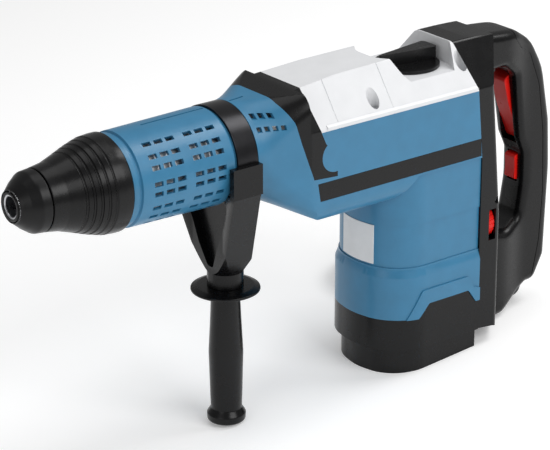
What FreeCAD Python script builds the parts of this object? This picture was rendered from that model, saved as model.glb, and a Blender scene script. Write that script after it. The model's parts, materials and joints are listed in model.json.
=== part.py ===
"""Electric rotary jackhammer with a D-handle, modelled piece by piece, in millimetres.

Frame: the origin is the centre of the bit socket's mouth. +X runs rearward along the drive axis,
+Z is up and -Y is the operator's left. The tool stands on its base cap and the auxiliary
handle's tip, so the standing plane is tilted a little about Y.
"""
import FreeCAD, Part

import math
import os

V = FreeCAD.Vector

# Drive axis: bit socket, chuck and barrel (radii about X)
SOCKET_R = 9.1            # 18 mm shank plus clearance
SOCKET_LENGTH = 45.0
HOLDER_R = 17.0
HOLDER_FRONT_R = 15.0
TUBE_R = 24.0             # hammer tube
TUBE_BORE_R = 19.0
TUBE_FRONT_X, TUBE_REAR_X = 112.0, 300.0
SLEEVE_FRONT_X, SLEEVE_REAR_X = 26.0, 97.5
SLEEVE_TRAVEL = 8.5
ROLLER_R = 3.5            # two locking rollers above and below the shank
ROLLER_X0, ROLLER_X1 = 52.0, 68.0
ROLLER_Z = 11.3
COLLAR_R = 43.2
COLLAR_REAR_X = 107.0
BARREL_R_FRONT, BARREL_R_REAR = 44.3, 46.0
BARREL_REAR_X = 208.0
NECK_R = 44.0             # gear case neck under the clamp band
BAND_X0, BAND_X1 = 209.0, 231.5
BAND_R = 46.6
NOSE_SWEEP_R = 51.0       # room round the housing's nose for the swivelling handle
VENT_ANGLES = (55, 38.5, 25, 6, -6, -24.5, -40, -56)      # degrees above the level, each side
VENT_STARTS = (120.0, 163.5)
VENT_PITCH, VENT_LENGTH, VENT_HALF = 12.2, 8.8, 2.2
FIT = 0.05                # radial gap of a running fit
GAP = 0.3                 # gap between bodies that do not fit each other

# Upper housing
BODY_HALF = 55.0          # half width of the flat sides
TOP_HALF = 25.0           # half width of the flat top
BELT_Z = 17.0             # seam between top cover and gear case
WALL = 3.2
BELLY_Z = -71.0           # underside of the gear case ahead of the motor tower
CASE_REAR_X = 496.0
SCREW_PLACES = [(365.5, -44.7), (365.5, 44.7), (480.5, -36.6), (480.5, 36.6)]   # in the top cover
SCREW_WELL_R = 6.4
COVER_SCREW_Z = 21.0

# Motor tower
MOTOR_X = 445.0           # motor axis, vertical
MOTOR_FRONT_X = 381.0
MOTOR_HALF = 53.5
SKIRT_Z = -200.0          # seam between motor case and base cap
TAB_Z = -186.0            # top of the base cap's tab on each side
MOTOR_BEARING_R = 12.5
BASE_SCREWS = [(410.0, -26.0), (410.0, 26.0), (488.0, -40.0), (488.0, 40.0)]

HUB_R = 17.2              # round foot of the auxiliary handle's yoke

# Standing plane: z = STAND_Z + STAND_SLOPE * (x - GRIP_X)
GRIP_X = 228.0            # auxiliary grip axis, vertical
STAND_Z = -272.5
STAND_SLOPE = 0.0775
STAND_TILT = math.degrees(math.atan(STAND_SLOPE))

# Gear train: every module in millimetres, axes vertical except the crown gear's
FINE_MODULE, CROWN_MODULE = 1.25, 2.0
ROTOR_TEETH, CRANK_TEETH, IDLER_TEETH = 12, 72, 40
BEVEL_TEETH, CROWN_TEETH = 10, 38
CRANK_X = MOTOR_X - FINE_MODULE * (ROTOR_TEETH + CRANK_TEETH) / 2
IDLER_X = CRANK_X - FINE_MODULE * (CRANK_TEETH + IDLER_TEETH) / 2
CRANK_THROW = 10.0
PIN_X = CRANK_X - CRANK_THROW
TRAIN_Z0, TRAIN_Z1 = -53.0, -44.0
ROD_EYE_X = 263.0

# Rear handle and controls
REAR_SHIFT_TOP, REAR_SHIFT_LOW = -7.0, 5.5                # lean of the rear cover's rear face
HANDLE_HALF = 18.0
ARM_HALF = 26.0
TRIGGER_PIVOT = (590.0, -64.0)
POCKET_X1 = 602.0
DIAL_X, DIAL_Y, DIAL_Z, DIAL_R = 512.0, -36.0, -125.0, 18.0
LAMP_X, LAMP_Z = 518.0, -101.0
KNOB_X = 445.0
KNOB_R, WELL_Z = 31.5, 38.0

# Mains cord
CORD_R = 4.5
COIL_X, COIL_Y = 552.0, 122.0
COIL_MEAN_R = 50.0
COIL_COLUMNS, COIL_LAYERS = 3, 4
CORD_EXIT = (596.0, 0.0, -223.0)
GUARD_BEND_R = 11.0
GUARD_TAIL = 18.0
CORD_POINTS = [(598.5, 47.0), (602.5, 66.0), (608.0, 85.0), (611.0, 104.0), (611.0, 122.0)]
PLUG_TAIL, PLUG_BARREL, PLUG_R, PLUG_HALF_HEIGHT, PLUG_PIN_R = 22.0, 30.0, 17.0, 11.0, 2.4
PLUG_TURN = -75.0         # degrees round the coil's centre, seen from above, for plug and cord tail
PLUG_PLACE = (0.0, COIL_MEAN_R)                           # tail's end on the barrel, before that turn
PLUG_AXIS = COIL_LAYERS * 2 * CORD_R + 1.0 + PLUG_HALF_HEIGHT   # height above the standing plane
TAIL_POINTS = [(59.0, 0.0, 31.9), (57.0, 18.0, 33.0), (49.5, 34.0, 38.5), (37.5, 45.0, 44.5),
               (22.0, 50.0, PLUG_AXIS)]                    # from the coil's centre, before that turn


def stand_z(x):
    """Height of the standing plane at x."""
    return STAND_Z + STAND_SLOPE * (x - GRIP_X)


# ---------------------------------------------------------------- shape helpers

def cyl_x(r, x0, x1, y=0.0, z=0.0):
    return Part.makeCylinder(r, x1 - x0, V(x0, y, z), V(1, 0, 0))


def cyl_y(r, y0, y1, x, z):
    return Part.makeCylinder(r, y1 - y0, V(x, y0, z), V(0, 1, 0))


def cyl_z(r, z0, z1, x=0.0, y=0.0):
    return Part.makeCylinder(r, z1 - z0, V(x, y, z0), V(0, 0, 1))


def box(x0, x1, y0, y1, z0, z1):
    return Part.makeBox(x1 - x0, y1 - y0, z1 - z0, V(x0, y0, z0))


def ring_x(r_in, r_out, x0, x1):
    return cyl_x(r_out, x0, x1).cut(cyl_x(r_in, x0 - 1, x1 + 1))


def ring_z(r_in, r_out, z0, z1, x, y=0.0):
    return cyl_z(r_out, z0, z1, x, y).cut(cyl_z(r_in, z0 - 1, z1 + 1, x, y))


def outline(points, place):
    """Closed wire through 2-D points (a, b) or (a, b, corner radius), placed in space."""
    corners = []
    for i, point in enumerate(points):
        here = V(point[0], point[1], 0)
        radius = point[2] if len(point) > 2 else 0
        if not radius:
            corners.append((here, None, here))
            continue
        before, after = points[i - 1], points[(i + 1) % len(points)]
        u = (V(before[0], before[1], 0) - here).normalize()
        v = (V(after[0], after[1], 0) - here).normalize()
        half = u.getAngle(v) / 2
        bisector = (u + v).normalize()
        reach = radius / math.tan(half)
        middle = here + bisector * (radius / math.sin(half) - radius)
        corners.append((here + u * reach, middle, here + v * reach))
    edges = []
    for i, (start, middle, end) in enumerate(corners):
        if middle is not None:
            edges.append(Part.Arc(place(start), place(middle), place(end)).toShape())
        following = corners[(i + 1) % len(corners)][0]
        if end.distanceToPoint(following) > 1e-6:
            edges.append(Part.LineSegment(place(end), place(following)).toShape())
    return Part.Wire(edges)


def prism_y(points, y0, y1):
    """Outline in X and Z, extruded along Y."""
    face = Part.Face(outline(points, lambda p: V(p.x, y0, p.y)))
    return face.extrude(V(0, y1 - y0, 0))


def prism_x(points, x0, x1):
    """Outline in Y and Z, extruded along X."""
    face = Part.Face(outline(points, lambda p: V(x0, p.x, p.y)))
    return face.extrude(V(x1 - x0, 0, 0))


def prism_z(points, z0, z1):
    """Outline in X and Y, extruded along Z."""
    face = Part.Face(outline(points, lambda p: V(p.x, p.y, z0)))
    return face.extrude(V(0, 0, z1 - z0))


def turned_x(points):
    """Outline in X and radius, revolved about the drive axis."""
    face = Part.Face(outline(points, lambda p: V(p.x, 0, p.y)))
    return face.revolve(V(0, 0, 0), V(1, 0, 0), 360)


def turned_z(points, x, y=0.0):
    """Outline in radius and Z, revolved about the vertical line through x, y."""
    face = Part.Face(outline(points, lambda p: V(x + p.x, y, p.y)))
    return face.revolve(V(x, y, 0), V(0, 0, 1), 360)


def joined(shapes, tidy_faces=True):
    """One solid from several; tidy_faces merges neighbouring faces of the same surface."""
    first, *rest = shapes
    whole = first.multiFuse(rest)
    return whole.removeSplitter() if tidy_faces else whole


def group(shapes):
    """Identical loose pieces kept as separate solids."""
    return Part.makeCompound(shapes)


def mirrored_y(shape):
    return shape.mirror(V(0, 0, 0), V(0, 1, 0))


def spur_gear(teeth, module, bore, z0, z1, x, first_tooth):
    """Straight gear about a vertical axis; first_tooth is one tooth's direction in degrees."""
    pitch_r = module * teeth / 2
    root_r, tip_r = pitch_r - 1.2 * module, pitch_r + 0.8 * module
    step = 2 * math.pi / teeth
    profile = []
    for k in range(teeth):
        middle = math.radians(first_tooth) + k * step
        for radius, share in ((root_r, -0.29), (tip_r, -0.11), (tip_r, 0.11), (root_r, 0.29)):
            angle = middle + share * step
            profile.append((x + radius * math.cos(angle), radius * math.sin(angle)))
    return prism_z(profile, z0, z1).cut(cyl_z(bore, z0 - 1, z1 + 1, x))


# ---------------------------------------------------------------- chuck and spindle

def tool_holder():
    body = turned_x([(-0.8, 9.9), (-0.8, HOLDER_FRONT_R), (30, HOLDER_FRONT_R), (30, HOLDER_R),
                     (92, HOLDER_R), (92, TUBE_R), (TUBE_FRONT_X, TUBE_R),
                     (TUBE_FRONT_X, TUBE_BORE_R), (150, TUBE_BORE_R), (150, 14.0), (100, 14.0),
                     (100, SOCKET_R), (75, SOCKET_R), (75, 9.7), (SOCKET_LENGTH, 9.7),
                     (SOCKET_LENGTH, SOCKET_R), (0, SOCKET_R)])
    slot_half = ROLLER_R + GAP
    return body.cut(box(ROLLER_X0 - GAP, ROLLER_X1 + GAP, -slot_half, slot_half, -20, 20))


def lock_roller(side):
    return cyl_x(ROLLER_R, ROLLER_X0, ROLLER_X1, 0, side * ROLLER_Z)


def dust_cap():
    return turned_x([(-1.5, 11), (-1.5, 12.5), (2, 17, 4), (8, 22.3, 8), (16, 27.8, 6), (25, 28.7, 1),
                     (25, HOLDER_FRONT_R), (-0.8, HOLDER_FRONT_R), (-0.8, 11)])


def locking_sleeve():
    hub_r = HOLDER_R + FIT
    skin = [(SLEEVE_FRONT_X, 28.8, 1), (30, 29.4, 8), (40, 31, 12), (54, 35.6), (68, 40.6, 20),
            (82, 44.6, 14), (92, 45.4), (SLEEVE_REAR_X, 45.4, 0.8)]
    hollow = [(SLEEVE_REAR_X, 43.6), (86, 43.4), (66, 36.5), (62, 24), (62, hub_r), (31, hub_r),
              (31, HOLDER_R + GAP), (SLEEVE_FRONT_X, HOLDER_R + GAP)]
    body = turned_x(skin + hollow)
    grooves = []
    for k in range(6):
        x = 55 + 6.4 * k
        radius = 36.0 + (x - 55) * 0.33
        grooves.append(Part.makeTorus(radius + 0.4, 1.4, V(x, 0, 0), V(1, 0, 0)))
    return body.cut(grooves)


def sleeve_spring():
    """Four and a half turns between the sleeve's hub and the holder's flange."""
    wire_r, coil_r, x0, x1, turns = 1.1, 20.0, 63.6, 90.4, 4.5
    places = []
    for k in range(int(turns * 16) + 1):
        angle = 2 * math.pi * k / 16
        places.append(V(x0 + (x1 - x0) * angle / (2 * math.pi * turns), coil_r * math.cos(angle),
                        coil_r * math.sin(angle)))
    line = Part.BSplineCurve()
    line.interpolate(places)
    section = Part.Wire(Part.makeCircle(wire_r, places[0], line.tangent(line.FirstParameter)[0]))
    return Part.Wire(line.toShape()).makePipeShell([section], True, True)


def hammer_tube():
    tube = ring_x(TUBE_BORE_R, TUBE_R, TUBE_FRONT_X, TUBE_REAR_X)
    ports = [cyl_z(3, -30, 30, 218, 0), cyl_y(3, -30, 30, 218, 0)]
    return tube.cut(ports)


def crown_gear():
    """Disc on the tube's rear end with radial ridges that the bevel pinion runs on."""
    disc = ring_x(TUBE_BORE_R + 1, 41.0, TUBE_REAR_X, 310.4)
    ridge = prism_y([(310, -1.5), (314.2, -0.65), (314.2, 0.65), (310, 1.5)], 33.2, 40.8)
    ridge.rotate(V(0, 0, 0), V(1, 0, 0), -90)
    ridges = []
    for k in range(CROWN_TEETH):
        tooth = ridge.copy()
        tooth.rotate(V(0, 0, 0), V(1, 0, 0), 360.0 * k / CROWN_TEETH)
        ridges.append(tooth)
    return joined([disc] + ridges)


def impact_bolt():
    return turned_x([(96, 0), (96, 8.4), (97, 8.8), (106, 8.8), (108, 14 - FIT), (132, 14 - FIT),
                     (134, 8.8), (143, 8.8), (144, 8), (144, 0)])


def striker():
    r = TUBE_BORE_R - FIT
    return turned_x([(155, 0), (155, 7.5), (156, 8.8), (165, 8.8), (167, r), (185, r), (185, r - 1.5),
                     (189, r - 1.5), (189, r), (210, r), (210, 0)])


def piston():
    r = TUBE_BORE_R - FIT
    return turned_x([(228, 0), (228, r), (232, r), (232, r - 1.5), (235, r - 1.5), (235, r), (272, r),
                     (272, 16.8), (236, 16.8), (236, 0)])


def conrod():
    eye = cyl_z(6, -5, 5, ROD_EYE_X)
    shank = box(ROD_EYE_X, PIN_X - 9, -4, 4, -5, 5)
    big_end = cyl_z(13, -8, 8, PIN_X)
    rod = joined([eye, shank, big_end])
    holes = [cyl_z(3, -9, 9, ROD_EYE_X), cyl_z(7 + FIT, -9, 9, PIN_X)]
    return rod.cut(holes)


def wrist_pin():
    return cyl_z(3, -8.5, 8.5, ROD_EYE_X)


# ---------------------------------------------------------------- gears and motor

def crankshaft():
    """Shaft, gear, web and crank pin, pressed together."""
    gear = spur_gear(CRANK_TEETH, FINE_MODULE, 7.0, TRAIN_Z0, TRAIN_Z1, CRANK_X, 180.0)
    shaft = cyl_z(8, -67.4, -24, CRANK_X)
    web = cyl_z(20, -24, -10, CRANK_X)
    pin = cyl_z(7, -10, 9, PIN_X)
    return joined([shaft, gear, web, pin])


def intermediate_shaft():
    """Shaft, idler gear and bevel pinion in one piece of steel."""
    shaft = cyl_z(5, -67.4, -33.5, IDLER_X)
    half_tooth = 180.0 / IDLER_TEETH
    gear = spur_gear(IDLER_TEETH, FINE_MODULE, 4.0, TRAIN_Z0, TRAIN_Z1, IDLER_X, half_tooth)
    pinion = spur_gear(BEVEL_TEETH, CROWN_MODULE, 4.0, -40.3, -33.5, IDLER_X,
                       180.0 + 180.0 / BEVEL_TEETH)
    return joined([shaft, gear, pinion])


def rotor_shaft():
    shaft = joined([cyl_z(6, -226, -55, MOTOR_X), cyl_z(5, -242, -226, MOTOR_X)])
    pinion = spur_gear(ROTOR_TEETH, FINE_MODULE, 2.0, -55, TRAIN_Z1, MOTOR_X, 180.0 + 180.0 / ROTOR_TEETH)
    return joined([shaft, pinion, cyl_z(2.5, -56, TRAIN_Z1, MOTOR_X)])


def rotor_core():
    """Lamination stack with twelve winding slots."""
    stack = ring_z(6, 26, -180, -120, MOTOR_X)
    slots = []
    for k in range(12):
        slot = box(MOTOR_X + 14, MOTOR_X + 27, -1.8, 1.8, -181, -119)
        slot.rotate(V(MOTOR_X, 0, 0), V(0, 0, 1), 30.0 * k)
        slots.append(slot)
    return stack.cut(slots)


def commutator():
    segments = ring_z(6, 13, -212, -193, MOTOR_X)
    slits = []
    for k in range(12):
        slit = box(MOTOR_X + 11.6, MOTOR_X + 14, -0.3, 0.3, -213, -192)
        slit.rotate(V(MOTOR_X, 0, 0), V(0, 0, 1), 30.0 * k)
        slits.append(slit)
    return segments.cut(slits)


def cooling_fan():
    hub = ring_z(6, 14, -104, -92, MOTOR_X)
    plate = ring_z(6, 41, -94.5, -92, MOTOR_X)
    blades = []
    for k in range(11):
        blade = box(MOTOR_X + 12, MOTOR_X + 41, -0.8, 0.8, -104, -93)
        blade.rotate(V(MOTOR_X + 12, 0, 0), V(0, 0, 1), 25)
        blade.rotate(V(MOTOR_X, 0, 0), V(0, 0, 1), 360.0 * k / 11)
        blades.append(blade)
    fan = joined([hub, plate] + blades)
    return fan.common(cyl_z(41, -105, -91, MOTOR_X))


def air_baffle():
    """Plate below the fan that makes it draw air through the motor."""
    plate = prism_z(motor_plan(WALL + 0.6), -110, -107)
    return plate.cut(cyl_z(30, -111, -106, MOTOR_X))


def stator_core():
    stack = ring_z(26.8, 42, -180, -120, MOTOR_X)
    slots = [box(MOTOR_X - 40, MOTOR_X + 40, y - 7, y + 7, -181, -119) for y in (-33, 33)]
    windows = [slot.common(ring_z(26, 38, -181, -119, MOTOR_X)) for slot in slots]
    return stack.cut(windows)


def field_coils():
    """One winding bundle above and one below the stator stack, on each pole."""
    bundles = []
    for z0, z1 in ((-119.6, -112), (-188, -180.4)):
        bundle = ring_z(28, 37, z0, z1, MOTOR_X).common(box(MOTOR_X - 40, MOTOR_X + 40, 4, 44, z0, z1))
        bundles += [bundle, mirrored_y(bundle)]
    return group(bundles)


def brush_holders():
    """Open box on each side that guides one brush."""
    holder = box(MOTOR_X - 7, MOTOR_X + 7, 14.5, 40, -211, -194)
    holder = holder.cut(box(MOTOR_X - 4, MOTOR_X + 4, 13, 38, -208, -197))
    return group([holder, mirrored_y(holder)])


def carbon_brushes():
    brush = box(MOTOR_X - 3.8, MOTOR_X + 3.8, 13.3, 31, -207.8, -197.2)
    return group([brush, mirrored_y(brush)])


def bearing_z(r_in, r_out, z0, z1, x):
    """Sealed ball bearing as one ring with a recessed shield on each side."""
    ring = ring_z(r_in, r_out, z0, z1, x)
    shields = [ring_z(r_in + 1.5, r_out - 1.8, z0 - 1, z0 + 0.5, x),
               ring_z(r_in + 1.5, r_out - 1.8, z1 - 0.5, z1 + 1, x)]
    return ring.cut(shields)


def motor_bearings():
    return group([bearing_z(6 + FIT, 14, -67, -57, MOTOR_X),
                  bearing_z(5 + FIT, MOTOR_BEARING_R, -240, -230, MOTOR_X)])


def gear_bearings():
    return group([bearing_z(8 + FIT, 16, -67, -57, CRANK_X), bearing_z(8 + FIT, 16, -40, -30, CRANK_X),
                  bearing_z(5 + FIT, 12, -67, -57, IDLER_X)])


def spindle_bearings():
    return group([ring_x(TUBE_R + FIT, 31, 114, 128), ring_x(TUBE_R + FIT, 31, 270, 284)])


def front_seal():
    return ring_x(TUBE_R + FIT, 31, COLLAR_REAR_X, 113)


def bearing_frame():
    """Casting with a plate above and below the gears, tied by four posts."""
    lower = prism_z([(308, -34, 8), (308, 34, 8), (345, 47, 8), (426, 49, 6), (464, 22, 10), (464, -22, 10),
                     (426, -49, 6), (345, -47, 8)], -67.5, -57)
    upper = prism_z([(342, -38, 8), (342, 38, 8), (424, 49, 8), (424, -49, 8)], -41, -30)
    posts = []
    for x, y0, y1 in ((343, 30, 37), (415, 43, 48.5)):
        posts += [box(x, x + 8, y0, y1, -60, -35), box(x, x + 8, -y1, -y0, -60, -35)]
    frame = joined([lower, upper] + posts).common(body_solid(WALL + GAP))
    tower_wall = prism_z(motor_plan(-1), -90, -50).cut(prism_z(motor_plan(WALL + GAP), -91, -49))
    bores = [cyl_z(16, -90, -20, CRANK_X), cyl_z(12, -90, -50, IDLER_X), cyl_z(14, -90, -50, MOTOR_X)]
    return frame.cut(bores + [tower_wall.common(tower_region())])


# ---------------------------------------------------------------- housing shells

def nose_form(inset):
    """Loft that grows from the round neck to a size beyond the body's square section."""
    stations = [(232, 46.4, 46.4, -46.4, 46.0), (246, 47.2, 47.2, -47.0, 41.0),
                (262, 49.8, 49.6, -53.0, 31.0), (280, 53.6, 54.4, -62.0, 22.0),
                (300, 57.5, 60.0, -75.0, 16.0), (312, 60.0, 64.0, -82.0, 14.0)]
    sections = []
    for x, half, top, bottom, radius in stations:
        half, top, bottom, radius = half - inset, top - inset, bottom + inset, radius - inset
        corners = [(-half, top, radius), (half, top, radius), (half, bottom, radius), (-half, bottom, radius)]
        sections.append(outline(corners, lambda p: V(x, p.x, p.y)))
    return Part.makeLoft(sections, True, False)


def body_solid(inset):
    """Upper housing as a full solid, its faces moved inward by inset."""
    side = [(220, 47.4 - inset), (259, 49 - inset), (284, 54 - inset, 60), (335, 58 - inset, 200),
            (482, 60.5 - inset, 4), (491 - inset, 52, 10), (489 - inset, BELT_Z), (CASE_REAR_X - inset, -54),
            (CASE_REAR_X - inset, -74 + inset), (300, BELLY_Z + inset, 10), (220, -33.0 + inset)]
    front = [(-TOP_HALF, 60.5 - inset, 6), (TOP_HALF, 60.5 - inset, 6), (BODY_HALF - inset, BELT_Z + 2, 4),
             (BODY_HALF - inset, -75 + inset, 20), (-BODY_HALF + inset, -75 + inset, 20),
             (-BODY_HALF + inset, BELT_Z + 2, 4)]
    square = prism_y(side, -70, 70).common(prism_x(front, 285, 520))
    nose = nose_form(inset).common(prism_y([(220, 80), (310, 80), (310, -90), (220, -90)], -70, 70))
    rear = square.common(box(310, 520, -70, 70, -100, 80))
    middle = square.common(nose)
    front_end = nose.common(prism_y(side, -70, 70)).common(box(220, 285, -70, 70, -100, 80))
    return joined([front_end, middle, rear])


def motor_plan(inset):
    """Motor tower seen from above: bowed front, full sides, square rear."""
    front, half = MOTOR_FRONT_X + inset, MOTOR_HALF - inset
    return [(front, 0, 70), (front + 11, -half, 44 - inset), (CASE_REAR_X + 2 - inset, -half),
            (CASE_REAR_X + 2 - inset, half), (front + 11, half, 44 - inset)]


def band_front():
    return [(262, 90), (262, 47), (270, 31), (276, 11), (282, -7), (289, -27), (293.5, -44)]


def band_region():
    """Side view of the bumper band's space, with the round bite in its rear edge."""
    front = band_front()
    rear = [(316.5, -29), (316.5, -10), (302.5, 5.5, 1.5), (296.5, 19, 20), (291, 60), (291, 90)]
    return prism_y(front[:-1] + rear, -80, 80).cut(cyl_y(15.5, -90, 90, 314, -8.5))


def strip_region():
    return prism_y([(293.5, -32), (CASE_REAR_X - 2, -32), (CASE_REAR_X - 1, -50), (296.5, -50)], -80, 80)


def above_belt():
    return box(200, 520, -80, 80, BELT_Z, 120)


def tower_region():
    """Space that belongs to the motor case: low at the front, up to the side strips at the rear."""
    return prism_y([(360, BELLY_Z - 4), (384, BELLY_Z - 4), (400, -66, 12), (416, -52), (520, -52),
                    (520, -300), (360, -300)], -80, 80)


def upper_shell():
    return body_solid(0).cut(body_solid(WALL))


def well_plan(inset):
    """Recess round the mode knob, open through both shoulders."""
    front, rear = 393 + inset, 479 - inset
    return [(front, -14, 20), (front, 14, 20), (414 + inset, 44, 26), (467 - inset, 46, 8),
            (rear, 21, 10), (rear, -21, 10), (467 - inset, -46, 8), (414 + inset, -44, 26)]


def top_cover(shell):
    outer = body_solid(0).common(above_belt()).cut([band_region(), band_front_half()])
    cover = shell.common(above_belt()).cut([band_region(), band_front_half()])
    walls = [prism_z(well_plan(-2.5), WELL_Z - 3.5, 80).common(outer)]
    cuts = [prism_z(well_plan(0), WELL_Z, 90), cyl_z(6 + FIT, 20, 60, KNOB_X)]
    for x, y in SCREW_PLACES:
        walls.append(cyl_z(SCREW_WELL_R + 2.2, BELT_Z, 80, x, y).common(outer))
        cuts += [cyl_z(SCREW_WELL_R, COVER_SCREW_Z, 80, x, y), cyl_z(2.2, 0, 80, x, y)]
    return joined([cover] + walls, tidy_faces=False).cut(cuts)


def case_screws():
    """Pan heads of the cover screws and of the base screws, with their shanks."""
    screws = []
    for x, y in SCREW_PLACES:
        screws.append(joined([cyl_z(4.6, COVER_SCREW_Z, COVER_SCREW_Z + 3, x, y),
                              cyl_z(2.2, COVER_SCREW_Z - 14, COVER_SCREW_Z, x, y)]))
    for x, y in BASE_SCREWS:
        screws.append(joined([cyl_z(4.6, -246, -243, x, y), cyl_z(2.2, -243, -222, x, y)]))
    return group(screws)


def side_vents():
    """Small square air holes high on both sides of the gear case."""
    holes = []
    for z, count in ((38.0, 3), (28.0, 4)):
        for k in range(count):
            x = 236.5 + 7.0 * k
            holes.append(box(x, x + 4.6, -60, 60, z - 2.2, z + 2.2))
    return holes


def gear_case(shell):
    lower = shell.cut([above_belt().cut(band_front_half()), tower_region(), band_region(), strip_region()])
    neck = ring_x(38.5, NECK_R, BARREL_REAR_X, BAND_X1 + 2).fuse(ring_x(40, 46.4, BAND_X1 + 0.5, 240))
    lower = lower.cut(cyl_x(38.5, 200, 258))
    return joined([neck, lower]).cut(side_vents() + [box(234, 249, -1, 1, 38, 60)])


def band_front_half():
    """Everything in front of the bumper band, kept by the gear case."""
    return prism_y([(200, 90)] + band_front() + [(200, -60)], -80, 80)


def bumper_band(shell):
    return shell.common(band_region())


def side_strips(shell):
    strips = shell.common(strip_region()).cut(box(200, 520, -48, 48, -60, 0))
    return group(strips.Solids)


def seam_notch():
    """Side view of the base cap's raised tab and the notch it fills."""
    return prism_y([(418, SKIRT_Z), (430, TAB_Z, 4), (481, TAB_Z, 4), (491, SKIRT_Z), (491, SKIRT_Z - 4),
                    (418, SKIRT_Z - 4)], -80, 80)


def motor_case():
    """Tower with a shallow panel round it, a flared skirt and a notch in each side."""
    tall = prism_z(motor_plan(0), SKIRT_Z, -50)
    waist = [outline(motor_plan(inset), lambda p: V(p.x, p.y, z)) for inset, z in ((0, -149), (-3.0, -157))]
    skirt = joined([Part.makeLoft(waist, True, True), prism_z(motor_plan(-3.0), SKIRT_Z, -157)])
    panel = prism_z(motor_plan(-5), -147, -103).cut(prism_z(motor_plan(1.0), -148, -102))
    pad = prism_y([(406, SKIRT_Z), (422, -171, 5), (480, -171, 5), (488, -184), (500, -188), (500, SKIRT_Z)],
                  -80, 80).common(prism_z(motor_plan(-4.4), SKIRT_Z, -160))
    outer = joined([tall, skirt, pad]).common(box(300, CASE_REAR_X, -80, 80, -260, 0))
    hollow = prism_z(motor_plan(WALL), -260, 0)
    return outer.cut([hollow, panel, seam_notch()]).common(tower_region())


def rating_plate():
    """Blank plate on the bowed front of the motor case."""
    plate = prism_z(motor_plan(0.4), -145, -105).cut(prism_z(motor_plan(1.0), -146, -104))
    return plate.common(box(370, 395, -24, 20, -146, -104))


def base_plan(inset):
    front, half = 386.0 + inset, 52.0 - inset
    return [(front, 0, 60), (front + 10, -half, 42 - inset), (CASE_REAR_X + 3 - inset, -half),
            (CASE_REAR_X + 3 - inset, half), (front + 10, half, 42 - inset)]


def stand_slab(height):
    """Everything above the standing plane by height."""
    return prism_y([(150, stand_z(150) + height), (700, stand_z(700) + height), (700, 200), (150, 200)],
                   -120, 120)


def base_cap():
    rim = prism_z(motor_plan(-3.0), -232, SKIRT_Z).common(box(370, CASE_REAR_X, -60, 60, -240, -190))
    foot = prism_z(base_plan(0), -270, -230).common(box(370, CASE_REAR_X, -60, 60, -280, -190))
    tabs = prism_z(motor_plan(-3.0), SKIRT_Z - 4, TAB_Z).cut(prism_z(motor_plan(WALL), -210, -180))
    outer = joined([rim, foot, tabs.common(seam_notch())]).common(stand_slab(0))
    hollow = prism_z(base_plan(4), -240, SKIRT_Z + 1)
    hollow = hollow.common(box(380, CASE_REAR_X - 4, -60, 60, -250, -190))
    boss = cyl_z(MOTOR_BEARING_R + 3, -248, -228, MOTOR_X)
    boss_bore = cyl_z(MOTOR_BEARING_R, -240, -200, MOTOR_X)
    cap = joined([outer.cut(hollow), boss]).cut([boss_bore, cyl_z(7, -242.5, -238, MOTOR_X)])
    for x, y in BASE_SCREWS:
        cap = cap.cut([cyl_z(2.2, -243, -200, x, y), cyl_z(5, -280, -243, x, y)])
    return cap


# ---------------------------------------------------------------- barrel

def inner_barrel():
    tube = ring_x(31, 37, COLLAR_REAR_X, 288)
    flange = ring_x(36, 38.5, 236, 250)
    nose = ring_x(36, 41.5, COLLAR_REAR_X, 111)
    return joined([tube, flange, nose])


def vent_cutters():
    """Six slots in each of eight rows, on both sides of the barrel."""
    cutters = []
    for angle in VENT_ANGLES:
        for start in VENT_STARTS:
            for k in range(3):
                x = start + VENT_PITCH * k
                slot = box(x, x + VENT_LENGTH, -60, -40, -VENT_HALF, VENT_HALF)
                slot.rotate(V(0, 0, 0), V(1, 0, 0), -angle)
                cutters += [slot, mirrored_y(slot)]
    return cutters


def barrel_cover():
    shell = turned_x([(99, COLLAR_R), (104.5, COLLAR_R), (105.5, COLLAR_R - 1), (COLLAR_REAR_X, COLLAR_R - 1),
                      (108, BARREL_R_FRONT, 0.5), (BARREL_REAR_X - 0.2, BARREL_R_REAR, 3),
                      (BARREL_REAR_X - 0.2, 41.5), (99, 41.5)])
    top_slit = box(136, 204, -1, 1, 30, 60)
    return shell.cut(vent_cutters() + [top_slit])


# ---------------------------------------------------------------- auxiliary handle

def clamp_band():
    band = ring_x(NECK_R + FIT, BAND_R, BAND_X0, BAND_X1)
    return band.cut(box(BAND_X0 - 1, BAND_X1 + 1, -60, 60, -60, -30))


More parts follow.
